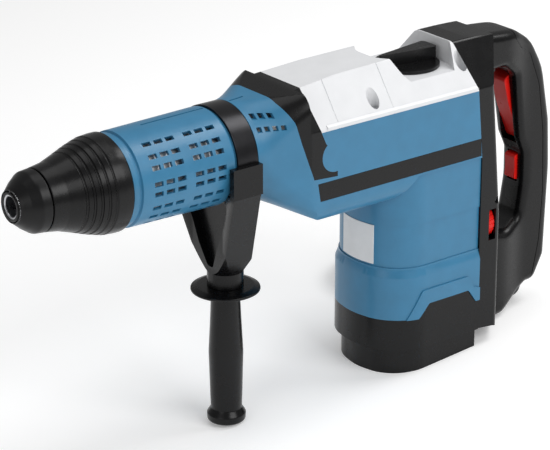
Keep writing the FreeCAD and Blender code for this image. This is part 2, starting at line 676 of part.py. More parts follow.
def handle_yoke():
    """Saddle with two arms and a recessed web that run down to the grip's round hub."""
    outer = prism_x([(-52, 1, 3), (-52, -26, 10), (-17.5, -116, 14), (-17.5, -131.5), (17.5, -131.5),
                     (17.5, -116, 14), (52, -26, 10), (52, 1, 3)], 195, 250)
    side = prism_y([(200.5, 4), (200.5, -30, 20), (211, -112, 20), (211, -132), (245, -132),
                    (243, -112, 20), (231, -30, 20), (231.6, 4)], -60, 60)
    plan = prism_z([(195, -60), (231, -60), (245, -18, 12), (245, 18, 12), (231, 60), (195, 60),
                    (208, 24, 12), (208, -24, 12)], -140, 10)
    round_hub = joined([cyl_z(HUB_R, -132, -117, GRIP_X), Part.makeCone(HUB_R, 75, 90, V(GRIP_X, 0, -117))])
    window = [(-39, -33, 6), (0, -47), (39, -33, 6), (4, -110, 3), (-4, -110, 3)]
    pockets = [prism_x(window, 190, 216), prism_x(window, 224, 250)]
    rib = box(216, 236, -2.5, 2.5, -122, -45).common(side)
    heads = [box(199, 231.6, 47, 53, -27, 2), box(199, 231.6, -53, -47, -27, 2)]
    arms = outer.common(side).common(plan).common(round_hub)
    body = joined([arms.cut(pockets), rib] + heads)
    saddle = cyl_x(BARREL_R_REAR + 1.0, 190, BAND_X0 - 0.2)
    clearance = [cyl_x(BAND_R, BAND_X0 - 0.2, 240), cyl_x(NOSE_SWEEP_R, BAND_X1 + 0.2, 250)]
    return body.cut([saddle, cyl_z(5 + FIT, -135, -55, GRIP_X)] + clearance)


def aux_grip():
    """Grip moulded with its hand guard, bored for the clamp rod."""
    return turned_z([(5, -132), (26, -132), (32.6, -134.2, 1), (32.8, -136.6, 1), (15, -137), (13.7, -142, 3),
                     (14.6, -165, 30), (16.4, -200, 60), (15.2, -245, 40), (14.8, -257, 3), (18.6, -263, 3),
                     (18.2, -270, 3), (8, STAND_Z, 1), (0, STAND_Z), (0, -236), (5, -236)], GRIP_X)


def clamp_rod():
    return cyl_z(5, -236, -58, GRIP_X)


# ---------------------------------------------------------------- rear housing and handle

def rear_plan(inset, shift):
    return [(470, -55 + inset), (515 + shift, -55 + inset, 6), (538 + shift - inset, -27 + inset, 6),
            (538 + shift - inset, 27 - inset, 6), (515 + shift, 55 - inset, 6), (470, 55 - inset)]


def rear_solid(inset):
    """Rear cover as a full solid between the blue housings and the handle."""
    side = [(480, 60.5 - inset), (500, 60.5 - inset, 14), (550, 57.5 - inset), (550, -244 + inset),
            (516, -234 + inset, 10), (CASE_REAR_X, -232 + inset), (CASE_REAR_X, -54), (489, BELT_Z)]
    shoulders = [(-TOP_HALF, 61 - inset, 6), (TOP_HALF, 61 - inset, 6),
                 (BODY_HALF - inset, BELT_Z + 2, 4), (BODY_HALF - inset, -300), (-BODY_HALF + inset, -300),
                 (-BODY_HALF + inset, BELT_Z + 2, 4)]
    levels = [(90, REAR_SHIFT_TOP), (17, REAR_SHIFT_TOP), (-116, REAR_SHIFT_LOW), (-300, REAR_SHIFT_LOW)]
    plans = [outline(rear_plan(inset, shift), lambda p: V(p.x, p.y, z)) for z, shift in levels]
    return prism_y(side, -70, 70).common(Part.makeLoft(plans, True, True)).common(
        prism_x(shoulders, 470, 555))


def rear_cover():
    cavity = rear_solid(WALL).common(box(470, 534, -60, 60, -226, 60))
    cuts = [cavity, dial_slot(), cyl_y(3.5 + FIT, -60, -30, LAMP_X, LAMP_Z)]
    housings = joined([body_solid(0), prism_z(motor_plan(0), -232, -50)])
    return rear_solid(0).cut(housings).cut(cuts)


def dial_slot():
    return box(DIAL_X - 4.4, DIAL_X + 4.4, -60, -30, DIAL_Z - 16, DIAL_Z + 16)


def speed_dial():
    """Thumbwheel about an axis along the drive direction, with a notched rim."""
    wheel = cyl_x(DIAL_R, DIAL_X - 3.6, DIAL_X + 3.6, DIAL_Y, DIAL_Z)
    notches = []
    for k in range(24):
        angle = 2 * math.pi * k / 24
        notches.append(cyl_x(0.8, DIAL_X - 5, DIAL_X + 5, DIAL_Y + (DIAL_R + 0.2) * math.cos(angle),
                             DIAL_Z + (DIAL_R + 0.2) * math.sin(angle)))
    return wheel.cut(notches)


def indicator_lamp():
    return cyl_y(3.5, -49.5, -44, LAMP_X, LAMP_Z)


def handle_side():
    """Outer side view of the D-handle."""
    return [(525, 57), (538, 57), (568, 54, 30), (594, 38, 40), (611, 8, 60), (622.5, -50, 60),
            (625.5, -100, 200), (622.5, -196, 12), (609, -222, 10), (598, -222), (576, -236, 20),
            (560, -245, 8), (538, -247), (525, -247)]


def handle_gap():
    """Opening for the fingers."""
    return [(520, 16), (552, 19, 8), (569.5, 6, 8), (580, -62, 12), (588, -80, 12), (588.5, -110, 60),
            (583, -146, 12), (560, -156, 20), (541, -128, 16), (520, -122)]


def seam_region():
    """Space behind the line where the soft grip begins."""
    return prism_y([(562, 90), (562, 46), (572, 32, 8), (586, 24, 8), (597, -8, 40), (605, -60, 80),
                    (608, -125, 200), (606, -178, 60), (601, -208), (601, -240), (660, -240), (660, 90)],
                   -60, 60)


def handle_solid():
    side = prism_y(handle_side(), -40, 40).cut(prism_y(handle_gap(), -50, 50))
    plan = prism_z([(525, -ARM_HALF), (572, -ARM_HALF + 1, 20), (590, -HANDLE_HALF, 20),
                    (640, -HANDLE_HALF, 9), (640, HANDLE_HALF, 9), (590, HANDLE_HALF, 20),
                    (572, ARM_HALF - 1, 20), (525, ARM_HALF)], -260, 80)
    return side.common(plan).cut(rear_solid(0))


def handle_rooms():
    """Rooms inside the handle for trigger, lock button, pivot, switch and cord."""
    pocket = box(560, POCKET_X1, -9.8, 9.8, -69, 12)
    button_hole = box(570, 606, -7.4, 7.4, -112.3, -80.7)
    pivot = cyl_y(2 + FIT, -13, 13, *TRIGGER_PIVOT)
    switch_room = box(566, 594, -10.2, 10.2, 12, 34)
    cord_hole = Part.makeCylinder(CORD_R + 1.0, 10, V(CORD_EXIT[0], 0, -224), V(0, 0, 1))
    return [pocket, button_hole, pivot, switch_room, cord_hole]


def rear_handle(solid):
    return solid.cut([seam_region()] + handle_rooms())


def handle_grip(solid):
    return solid.common(seam_region()).cut(handle_rooms())


def switch_module():
    return box(566.2, 593.8, -10, 10, 12.4, 33.8)


def trigger():
    blade = prism_y([(573, 8, 3), (564, 0, 4), (571, -26, 60), (585.5, -61, 4), (588, -66, 2), (594, -66, 3),
                     (592.5, 4, 4), (588, 9, 3)], -9.3, 9.3)
    return blade.cut(cyl_y(2 + FIT, -20, 20, *TRIGGER_PIVOT))


def trigger_pin():
    return cyl_y(2, -13, 13, *TRIGGER_PIVOT)


def lock_button():
    return prism_y([(583.5, -84, 3), (585, -97, 60), (584, -109, 3), (601, -112), (601, -81)], -7, 7)


def control_board():
    board = box(504, 505.6, -34, 34, -200, -60)
    parts = [box(505.6, 516, -20, 8, -90, -66), box(505.6, 514, -28, -12, -190, -160),
             cyl_x(7, 505.6, 522, 18, -150), cyl_x(7, 505.6, 522, 18, -175)]
    return joined([board] + parts)


def mode_knob():
    disc = cyl_z(KNOB_R, WELL_Z + GAP, 41.5, KNOB_X)
    bar = prism_z([(KNOB_X - 34, -1.5, 1), (KNOB_X + 29.5, -11.5, 4), (KNOB_X + 29.5, 11.5, 4),
                   (KNOB_X - 34, 1.5, 1)], 41, 53.8)
    shaft = cyl_z(6, 22, WELL_Z + 1, KNOB_X)
    return joined([disc, bar, shaft])


# ---------------------------------------------------------------- mains cord

def cord_start():
    """Centre of the cord guard's rear face, where the free cord begins."""
    x, _, z = CORD_EXIT
    return V(x, GUARD_BEND_R + GUARD_TAIL, z - 5 - GUARD_BEND_R)


def cord_guard():
    """Tapered strain relief that leaves the arm downward and bends level."""
    x, _, z = CORD_EXIT
    top, knee = V(x, 0, z), V(x, 0, z - 5)
    middle = V(x, GUARD_BEND_R * (1 - math.cos(math.pi / 4)), z - 5 - GUARD_BEND_R * math.sin(math.pi / 4))
    level = V(x, GUARD_BEND_R, z - 5 - GUARD_BEND_R)
    stub = Part.makeCylinder(7.0, 5, knee, V(0, 0, 1))
    bend_path = Part.Wire(Part.Arc(knee, middle, level).toShape())
    start = Part.Wire(Part.makeCircle(7.0, knee, V(0, 0, 1)))
    end = Part.Wire(Part.makeCircle(6.0, level, V(0, 1, 0)))
    bend = bend_path.makePipeShell([start, end], True, True)
    tail = Part.makeCone(6.0, CORD_R + 0.9, GUARD_TAIL, level, V(0, 1, 0))
    flange = Part.makeCylinder(CORD_R + 0.9, 6, top, V(0, 0, 1))
    return joined([flange, stub, bend, tail])


def cord_route():
    """Centre line of the free cord, from the guard to the coil's outer turn."""
    start = cord_start()
    lift = CORD_R + 0.4
    route = [start]
    for x, y in CORD_POINTS:
        route.append(V(x, y, stand_z(x) + lift))
    return route


def round_path(points):
    """Straight runs joined by tangent arcs, each as large as its two runs allow."""
    edges, cursor = [], points[0]
    for before, here, after in zip(points, points[1:], points[2:]):
        u, v = (before - here), (after - here)
        shorter = min(u.Length, v.Length)
        u.normalize()
        v.normalize()
        turn = math.pi - u.getAngle(v)
        reach = 0.45 * shorter
        radius = reach / math.tan(turn / 2)
        start, end = here + u * reach, here + v * reach
        bisector = (u + v).normalize()
        middle = here + bisector * (radius / math.cos(turn / 2) - radius)
        edges.append(Part.LineSegment(cursor, start).toShape())
        edges.append(Part.Arc(start, middle, end).toShape())
        cursor = end
    edges.append(Part.LineSegment(cursor, points[-1]).toShape())
    return Part.Wire(edges)


def cord_tube(route):
    section = Part.Wire(Part.makeCircle(CORD_R, route[0], route[1] - route[0]))
    return round_path(route).makePipeShell([section], True, False)


def cord_run():
    return cord_tube(cord_route())


def on_stand(shape, x, y, lift):
    """Turn a shape from the flat to the standing plane and set it down at x, y."""
    shape.rotate(V(0, 0, 0), V(0, 1, 0), -STAND_TILT)
    shape.translate(V(x, y, stand_z(x) + lift))
    return shape


def cord_coil():
    half_width = COIL_COLUMNS * CORD_R
    height = COIL_LAYERS * 2 * CORD_R
    ring = ring_z(COIL_MEAN_R - half_width, COIL_MEAN_R + half_width, 0, height, 0)
    return on_stand(ring, COIL_X, COIL_Y, 0.4)


def round_coil(x, y):
    """Turn a place about the coil's centre by PLUG_TURN and return it in the frame."""
    turned = FreeCAD.Rotation(V(0, 0, 1), PLUG_TURN).multVec(V(x, y, 0))
    return COIL_X + turned.x, COIL_Y + turned.y


def cord_tail():
    """The cord's last stretch, from the coil's top turn up to the plug."""
    route = []
    for along, across, height in TAIL_POINTS:
        x, y = round_coil(along, across)
        route.append(V(x, y, stand_z(x) + height))
    return cord_tube(route)


def plug_placed(shape):
    shape.rotate(V(0, 0, 0), V(0, 0, 1), PLUG_TURN)
    return on_stand(shape, *round_coil(*PLUG_PLACE), PLUG_AXIS)


def plug_body():
    """Flat mains plug without earth pin, lying on the coil."""
    barrel = Part.makeCone(PLUG_R - 3, PLUG_R, PLUG_BARREL, V(0, 0, 0), V(-1, 0, 0))
    tail = Part.makeCone(PLUG_R - 5, CORD_R + 1.5, PLUG_TAIL, V(0, 0, 0), V(1, 0, 0))
    flat = box(-60, 60, -40, 40, -PLUG_HALF_HEIGHT, PLUG_HALF_HEIGHT)
    return plug_placed(joined([barrel, tail]).common(flat))


def plug_pins():
    pins = [cyl_x(PLUG_PIN_R, -PLUG_BARREL - 19, -PLUG_BARREL, y) for y in (-9.5, 9.5)]
    return plug_placed(group(pins))


# ---------------------------------------------------------------- all nodes

def build():
    shell = upper_shell()
    handle = handle_solid()
    hard_handle, soft_handle = rear_handle(handle), handle_grip(handle)
    return {
        "tool_holder": tool_holder(), "dust_cap": dust_cap(), "hammer_tube": hammer_tube(),
        "crown_gear": crown_gear(), "sleeve_spring": sleeve_spring(), "locking_sleeve": locking_sleeve(),
        "lock_roller_top": lock_roller(1), "lock_roller_bottom": lock_roller(-1),
        "impact_bolt": impact_bolt(), "striker": striker(), "piston": piston(), "conrod": conrod(),
        "wrist_pin": wrist_pin(), "crankshaft": crankshaft(),
        "intermediate_shaft": intermediate_shaft(), "rotor_shaft": rotor_shaft(),
        "rotor_core": rotor_core(), "commutator": commutator(), "cooling_fan": cooling_fan(),
        "air_baffle": air_baffle(), "stator_core": stator_core(), "field_coils": field_coils(),
        "brush_holders": brush_holders(), "carbon_brushes": carbon_brushes(),
        "motor_bearings": motor_bearings(), "gear_bearings": gear_bearings(),
        "spindle_bearings": spindle_bearings(),
        "front_seal": front_seal(), "bearing_frame": bearing_frame(), "inner_barrel": inner_barrel(),
        "barrel_cover": barrel_cover(), "gear_case": gear_case(shell), "top_cover": top_cover(shell),
        "bumper_band": bumper_band(shell), "side_strips": side_strips(shell), "motor_case": motor_case(),
        "rating_plate": rating_plate(), "base_cap": base_cap(), "case_screws": case_screws(),
        "rear_cover": rear_cover(), "indicator_lamp": indicator_lamp(), "speed_dial": speed_dial(),
        "rear_handle": hard_handle, "handle_grip": soft_handle,
        "switch_module": switch_module(), "trigger": trigger(), "trigger_pin": trigger_pin(),
        "lock_button": lock_button(), "control_board": control_board(), "mode_knob": mode_knob(),
        "clamp_band": clamp_band(), "handle_yoke": handle_yoke(), "clamp_rod": clamp_rod(),
        "aux_grip": aux_grip(), "cord_guard": cord_guard().cut([hard_handle, soft_handle]),
        "cord_run": cord_run(), "cord_coil": cord_coil(), "cord_tail": cord_tail(), "plug_body": plug_body(),
        "plug_pins": plug_pins(),
    }


def main():
    os.makedirs("parts", exist_ok=True)
    for name, shape in build().items():
        print(name, shape.isValid(), len(shape.Solids), round(shape.Volume))
        shape.exportStep(f"parts/{name}.step")


main()
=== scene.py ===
"""Looks of the electric rotary jackhammer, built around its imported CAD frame. Shapes are in millimetres."""

import json
import math

import bmesh
import bpy
from mathutils import Matrix, Vector
from mathutils.geometry import delaunay_2d_cdt

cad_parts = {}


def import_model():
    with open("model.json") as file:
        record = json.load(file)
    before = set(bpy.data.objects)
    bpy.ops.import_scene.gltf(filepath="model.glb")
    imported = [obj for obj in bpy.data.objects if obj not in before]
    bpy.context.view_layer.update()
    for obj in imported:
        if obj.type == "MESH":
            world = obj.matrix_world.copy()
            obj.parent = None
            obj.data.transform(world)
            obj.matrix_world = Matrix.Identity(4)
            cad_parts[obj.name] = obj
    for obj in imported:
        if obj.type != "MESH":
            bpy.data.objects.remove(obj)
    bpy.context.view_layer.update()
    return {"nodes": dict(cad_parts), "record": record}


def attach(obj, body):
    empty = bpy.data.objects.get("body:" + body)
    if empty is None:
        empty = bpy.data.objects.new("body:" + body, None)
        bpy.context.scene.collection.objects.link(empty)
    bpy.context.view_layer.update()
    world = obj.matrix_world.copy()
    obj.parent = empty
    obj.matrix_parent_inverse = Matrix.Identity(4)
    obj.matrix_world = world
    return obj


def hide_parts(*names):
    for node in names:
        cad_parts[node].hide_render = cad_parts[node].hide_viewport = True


MM = 0.001
CREASE_ANGLE = 36.0
GLOSS_SPREAD = 0.06

# Standing plane under the base cap and the auxiliary grip: z = STAND_Z + STAND_SLOPE * (x - GRIP_X)
GRIP_X = 228.0
STAND_Z = -272.5
STAND_SLOPE = 0.0775

# Camera
CAMERA_TARGET = (286.28, 0.0, -87.44)
CAMERA_AZIMUTH, CAMERA_ELEVATION = -37.82, 21.93
CAMERA_DISTANCE = 2337.61
CAMERA_LENS = 163.64

# Mains cord: exit, run to the coil, coil, and tail to the plug; the route repeats the CAD's
CORD_R = 4.5
CORD_LIFT = 0.4
CORD_EXIT = (596.0, 29.0, -239.0)
CORD_POINTS = [(598.5, 47.0), (602.5, 66.0), (608.0, 85.0), (611.0, 104.0), (611.0, 122.0)]
COIL_X, COIL_Y, COIL_MEAN_R = 552.0, 122.0, 50.0
COIL_LAYERS, TURNS_PER_LAYER = 4, 3
PLUG_TURN = -75.0
TAIL_POINTS = [(57.0, 18.0, 33.0), (49.5, 34.0, 38.5), (37.5, 45.0, 44.5), (22.0, 50.0, 48.0)]

# D-handle: side outline as (x, z, corner radius), clockwise from its top root
HANDLE_OUTLINE = [(531, 57, 0), (568, 54, 30), (594, 38, 40), (611, 8, 60), (622.5, -50, 60),
                  (625.5, -100, 200), (622.5, -196, 14), (609, -222, 12), (598, -222, 6),
                  (576, -236, 20), (560, -245, 12), (543.5, -246.5, 0), (543.5, -150, 0),
                  (562, -156, 16), (583, -146, 12), (588.5, -110, 60), (588, -80, 12),
                  (580, -62, 12), (569.5, 6, 8), (552, 19, 8), (531, 17, 0)]
HANDLE_ROOTS = (531.0, 543.5)
HANDLE_EDGE_R = 8.5
EDGE_STEPS = 6

# It is ROOT_HALF wide to each side up to NECK_X, then narrows to GRIP_HALF over NECK_LENGTH
ROOT_HALF, GRIP_HALF = 26.0, 18.0
NECK_X, NECK_LENGTH = 552.0, 40.0
SIDE_SPACING = 7

# The soft grip is what lies behind the seam; trigger and lock button sit in rooms (low, high corner)
SEAM_OUTLINE = [(564, 90, 0), (564, 46, 0), (575, 34, 8), (589, 26, 8), (603, -8, 40), (611, -60, 80),
                (614, -125, 200), (611, -178, 60), (604, -212, 0), (604, -240, 0), (660, -240, 0),
                (660, 90, 0)]
SEAM_GAP = 0.8
SEAM_REACH = 60
TRIGGER_ROOM = (555, -9.8, -69), (602, 9.8, 12)
BUTTON_ROOM = (570, -7.4, -112.3), (606, 7.4, -80.7)

# Top cover: raised lip along its foot, shallow grooves across it, as (y, z) outlines
BELT_Z = 17.0
LIP_OUTLINE = [(52.0, 21.5), (53.0, BELT_Z + 0.4), (55.8, BELT_Z + 0.4), (55.8, 20.6), (52.9, 22.6)]
LIP_ENDS = (304, 487.5)
GROOVE_OUTER = [(-60, 14), (-60, 20), (-28, 66), (28, 66), (60, 20), (60, 14)]
GROOVE_INNER = [(54.5, 14), (54.5, 19.2), (24.7, 59.9), (-24.7, 59.9), (-54.5, 19.2), (-54.5, 14)]
GROOVE_PLACES = (318.0, 384.0)
GROOVE_HALF = 0.5

# Edge rounding of the CAD pieces
EDGE_WIDTH = 0.5
EDGE_WIDTHS = {"handle_yoke": 2.5, "rear_cover": 1.2, "bumper_band": 0.6, "base_cap": 1.0, "trigger": 1.2,
               "lock_button": 1.2, "mode_knob": 1.0, "top_cover": 0.6}
EDGE_ANGLE = 32.0
MERGE_M = 0.00002


def stand_z(x):
    """Height of the standing plane."""
    return STAND_Z + STAND_SLOPE * (x - GRIP_X)


def sRGB(red, green, blue):
    """Linear colour from a display colour in 0..255."""
    linear = []
    for value in (red, green, blue):
        c = value / 255
        linear.append(c / 12.92 if c <= 0.04045 else ((c + 0.055) / 1.055) ** 2.4)
    return (*linear, 1.0)


# ---------------------------------------------------------------- materials

def material(name, colour, roughness, metallic=0.0, coat=0.0, specular=0.5, shade=0.10,
             mottle=60.0, grain=1400.0, depth=0.00002):
    """Colour that drifts a little, roughness that drifts with it, and a fine moulded or ground grain."""
    made = bpy.data.materials.new(name)
    made.use_nodes = True
    tree = made.node_tree
    shader = tree.nodes["Principled BSDF"]
    shader.inputs["Metallic"].default_value = metallic
    shader.inputs["Coat Weight"].default_value = coat
    shader.inputs["Coat Roughness"].default_value = 0.12
    shader.inputs["Specular IOR Level"].default_value = specular
    place = tree.nodes.new("ShaderNodeTexCoord")

    broad = tree.nodes.new("ShaderNodeTexNoise")
    broad.inputs["Scale"].default_value = mottle
    broad.inputs["Detail"].default_value = 4.0
    tree.links.new(place.outputs["Object"], broad.inputs["Vector"])
    ramp = tree.nodes.new("ShaderNodeValToRGB")
    ramp.color_ramp.elements[0].position = 0.3
    ramp.color_ramp.elements[1].position = 0.7
    ramp.color_ramp.elements[0].color = [c * (1 - shade) for c in colour[:3]] + [1.0]
    ramp.color_ramp.elements[1].color = [min(1.0, c * (1 + shade)) for c in colour[:3]] + [1.0]
    tree.links.new(broad.outputs["Fac"], ramp.inputs["Fac"])
    tree.links.new(ramp.outputs["Color"], shader.inputs["Base Color"])

    fine = tree.nodes.new("ShaderNodeTexNoise")
    fine.inputs["Scale"].default_value = grain
    fine.inputs["Detail"].default_value = 3.0
    tree.links.new(place.outputs["Object"], fine.inputs["Vector"])
    gloss = tree.nodes.new("ShaderNodeMapRange")
    gloss.inputs["To Min"].default_value = roughness - GLOSS_SPREAD
    gloss.inputs["To Max"].default_value = roughness + GLOSS_SPREAD
    tree.links.new(broad.outputs["Fac"], gloss.inputs["Value"])
    tree.links.new(gloss.outputs["Result"], shader.inputs["Roughness"])
    bump = tree.nodes.new("ShaderNodeBump")
    bump.inputs["Strength"].default_value = 1.0
    bump.inputs["Distance"].default_value = depth
    tree.links.new(fine.outputs["Fac"], bump.inputs["Height"])
    tree.links.new(bump.outputs["Normal"], shader.inputs["Normal"])
    return made


def brushed(name, colour, roughness, stretch=(40.0, 900.0, 900.0)):
    """Ground or drawn steel: fine lines along one direction."""
    made = material(name, colour, roughness, metallic=1.0, shade=0.08, mottle=90.0, depth=0.00001)
    tree = made.node_tree
    place = tree.nodes["Texture Coordinate"]
    scaled = tree.nodes.new("ShaderNodeMapping")
    scaled.inputs["Scale"].default_value = stretch
    lines = tree.nodes.new("ShaderNodeTexNoise")
    lines.inputs["Scale"].default_value = 2.0
    tree.links.new(place.outputs["Object"], scaled.inputs["Vector"])
    tree.links.new(scaled.outputs["Vector"], lines.inputs["Vector"])
    tree.links.new(lines.outputs["Fac"], tree.nodes["Bump"].inputs["Height"])
    return made


def make_materials():
    """One material for each slot of the record, and none with lettering."""
    return {
        "blue_shell": material("blue_shell", sRGB(52, 118, 155), 0.34, specular=0.45, shade=0.05,
                               depth=0.000008),
        "cover_grey": material("cover_grey", sRGB(220, 221, 223), 0.38, shade=0.02),
        "black_plastic": material("black_plastic", sRGB(10, 10, 11), 0.27, specular=0.26, depth=0.000004),
        "black_rubber": material("black_rubber", sRGB(12, 12, 13), 0.34, specular=0.26, depth=0.000008),
        "red_plastic": material("red_plastic", sRGB(216, 22, 14), 0.30, specular=0.25, shade=0.05),
        "blank_label": material("blank_label", sRGB(214, 216, 218), 0.34, metallic=0.2, shade=0.04),
        "lamp_lens": material("lamp_lens", sRGB(120, 122, 124), 0.12, coat=0.6, shade=0.05),
        "steel": brushed("steel", sRGB(190, 191, 194), 0.28),
        "dark_steel": brushed("dark_steel", sRGB(96, 96, 100), 0.34),
        "blackened_strap": material("blackened_strap", sRGB(40, 40, 42), 0.30, metallic=0.8, depth=0.000006),
        "cast_alu": material("cast_alu", sRGB(214, 216, 218), 0.40, metallic=0.6, shade=0.08, mottle=140.0,
                             grain=700.0, depth=0.00005),
        "laminations": brushed("laminations", sRGB(110, 110, 114), 0.45, stretch=(40.0, 40.0, 2400.0)),
        "copper": material("copper", sRGB(190, 104, 62), 0.32, metallic=1.0),
        "brass_pin": material("brass_pin", sRGB(214, 180, 104), 0.24, metallic=1.0),
        "carbon": material("carbon", sRGB(40, 40, 40), 0.6),
        "circuit_board": material("circuit_board", sRGB(20, 92, 52), 0.4),
        "cord_rubber": material("cord_rubber", sRGB(20, 20, 21), 0.45, specular=0.24, depth=0.00003),
    }


# ---------------------------------------------------------------- mesh helpers

def modifier_tree(name):
    """Empty geometry tree with its start and end."""
    tree = bpy.data.node_groups.new(name, "GeometryNodeTree")
    for in_out in ("INPUT", "OUTPUT"):
        tree.interface.new_socket("Geometry", in_out=in_out, socket_type="NodeSocketGeometry")
    return tree, tree.nodes.new("NodeGroupInput"), tree.nodes.new("NodeGroupOutput")


def smooth_nodes():
    """Modifier tree that shades every face smooth and forgets marked edges."""
    tree, start, end = modifier_tree("shade_smooth")
    faces, edges = tree.nodes.new("GeometryNodeSetShadeSmooth"), tree.nodes.new("GeometryNodeSetShadeSmooth")
    edges.domain = "EDGE"
    tree.links.new(start.outputs[0], faces.inputs[0])
    tree.links.new(faces.outputs[0], edges.inputs[0])
    tree.links.new(edges.outputs[0], end.inputs[0])
    return tree


def crease_nodes():
    """Modifier tree that marks every edge sharper than CREASE_ANGLE."""
    tree, start, end = modifier_tree("mark_creases")
    fold, steep = tree.nodes.new("GeometryNodeInputMeshEdgeAngle"), tree.nodes.new("FunctionNodeCompare")
    edges = tree.nodes.new("GeometryNodeSetShadeSmooth")
    steep.operation = "GREATER_THAN"
    steep.inputs[1].default_value = math.radians(CREASE_ANGLE)
    edges.domain = "EDGE"
    edges.inputs["Shade Smooth"].default_value = False
    tree.links.new(fold.outputs[0], steep.inputs[0])
    tree.links.new(steep.outputs[0], edges.inputs["Selection"])
    tree.links.new(start.outputs[0], edges.inputs[0])
    tree.links.new(edges.outputs[0], end.inputs[0])
    return tree


SMOOTH = smooth_nodes()
CREASES = crease_nodes()


def soften(piece, width, cutters=(), solver="EXACT"):
    """Merge, cut, round the edges and even out the shading; closed meshes cut by MANIFOLD aren't merged."""
    if solver == "EXACT":
        weld = piece.modifiers.new("weld", "WELD")
        weld.merge_threshold = MERGE_M
    for cutter in cutters:
        cut = piece.modifiers.new("cut", "BOOLEAN")
        cut.operation = "DIFFERENCE"
        cut.solver = solver
        cut.object = cutter
    piece.modifiers.new("smooth", "NODES").node_group = SMOOTH
    if width:
        bevel = piece.modifiers.new("edges", "BEVEL")
        bevel.width = width * MM
        bevel.segments = 2
        bevel.limit_method = "ANGLE"
        bevel.angle_limit = math.radians(EDGE_ANGLE)
        bevel.use_clamp_overlap = True
    piece.modifiers.new("creases", "NODES").node_group = CREASES
    normals = piece.modifiers.new("normals", "WEIGHTED_NORMAL")
    normals.keep_sharp = True
    normals.weight = 80


def place_camera():
    """Long lens on the left front of the machine, from above."""
    azimuth, elevation = math.radians(CAMERA_AZIMUTH), math.radians(CAMERA_ELEVATION)
    back = Vector((math.sin(azimuth) * math.cos(elevation), -math.cos(azimuth) * math.cos(elevation),
                   math.sin(elevation)))
    camera = bpy.data.objects.new("camera", bpy.data.cameras.new("camera"))
    bpy.context.scene.collection.objects.link(camera)
    camera.data.lens = CAMERA_LENS
    camera.data.sensor_width = 36.0
    camera.data.clip_end = 50.0
    camera.location = (Vector(CAMERA_TARGET) + back * CAMERA_DISTANCE) * MM
    camera.rotation_mode = "QUATERNION"
    camera.rotation_quaternion = (-back).to_track_quat("-Z", "Y")
    bpy.context.scene.camera = camera


# ---------------------------------------------------------------- mains cord

def coil_place(angle, column, layer):
    """Point on the coil at an angle in turns; column and layer count cord diameters from the inside."""
    radius = COIL_MEAN_R + (column - 1) * 2 * CORD_R + 0.45
    x = COIL_X + radius * math.cos(2 * math.pi * angle)
    y = COIL_Y + radius * math.sin(2 * math.pi * angle)
    return (x, y, stand_z(x) + CORD_R + CORD_LIFT + layer * 2 * CORD_R)


def coil_points():
    """Layers of turns, wound inward, up, outward, up and so on; each step takes the last of a turn."""
    steps_per_turn = 24
    shift = 3
    turns = COIL_LAYERS * TURNS_PER_LAYER
    column, layer, direction = TURNS_PER_LAYER - 1, 0, -1
    here, points = 0, []
    end = turns * steps_per_turn + round(PLUG_TURN / 360 * steps_per_turn)
    moves = {turn * steps_per_turn: "column" if turn % TURNS_PER_LAYER else "layer"
             for turn in range(1, turns)}
    while here <= end:
        ahead = next((s for s in range(here, here + shift) if s in moves), None)
        share = 0.0 if ahead is None else 1 - (ahead - here) / shift
        kind = moves.get(ahead) if ahead is not None else None
        wanted_column = column + direction * share if kind == "column" else column
        wanted_layer = layer + share if kind == "layer" else layer
        if here in moves:
            if moves[here] == "column":
                column += direction
                wanted_column = column
            else:
                layer += 1
                direction = -direction
                wanted_layer = layer
        points.append(coil_place(here / steps_per_turn, wanted_column, wanted_layer))
        here += 1
    return points


def make_cord():
    """The whole cord as one curve."""
    route = [CORD_EXIT]
    for x, y in CORD_POINTS[:-1]:
        route.append((x, y, stand_z(x) + CORD_R + CORD_LIFT))
    route += coil_points()
    turn = math.radians(PLUG_TURN)
    for along, across, height in TAIL_POINTS:
        x = COIL_X + along * math.cos(turn) - across * math.sin(turn)
        y = COIL_Y + along * math.sin(turn) + across * math.cos(turn)
        route.append((x, y, stand_z(x) + height))
    curve = bpy.data.curves.new("mains_cord", "CURVE")
    curve.dimensions = "3D"
    spline = curve.splines.new("NURBS")
    spline.points.add(len(route) - 1)
    for point, place in zip(spline.points, route):
        point.co = (place[0] * MM, place[1] * MM, place[2] * MM, 1.0)
        point.radius = CORD_R * MM
    spline.order_u = 3
    spline.use_endpoint_u = True
    spline.resolution_u = 4
    curve.bevel_depth = 1.0
    curve.bevel_resolution = 6
    cord = bpy.data.objects.new("mains_cord", curve)
    bpy.context.scene.collection.objects.link(cord)
    return cord


# ---------------------------------------------------------------- shaped pieces

def rounded(corners, spacing=4.0):
    """Closed outline through (a, b, corner radius) points, with its straight runs divided."""
    runs = []
    for i, (a, b, radius) in enumerate(corners):
        here = Vector((a, b))
        before, after = Vector(corners[i - 1][:2]), Vector(corners[(i + 1) % len(corners)][:2])
        u, v = (before - here).normalized(), (after - here).normalized()
        if not radius:
            runs.append([here])
            continue
        half = u.angle(v) / 2
        centre = here + (u + v).normalized() * radius / math.sin(half)
        start, end = here + u * radius / math.tan(half), here + v * radius / math.tan(half)
        steps = max(2, math.ceil((math.pi - 2 * half) / math.radians(11)))
        first, last = start - centre, end - centre
        sweep = first.angle_signed(last)
        arc = []
        for k in range(steps + 1):
            turn = Matrix.Rotation(-sweep * k / steps, 2)
            arc.append(centre + turn @ first)
        runs.append(arc)
    points = []
    for i, run in enumerate(runs):
        points += run
        following = runs[(i + 1) % len(runs)][0]
        upright = following.x == run[-1].x
        pieces = 0 if upright else int((following - run[-1]).length / spacing)
        points += [run[-1].lerp(following, k / (pieces + 1)) for k in range(1, pieces + 1)]
    return points


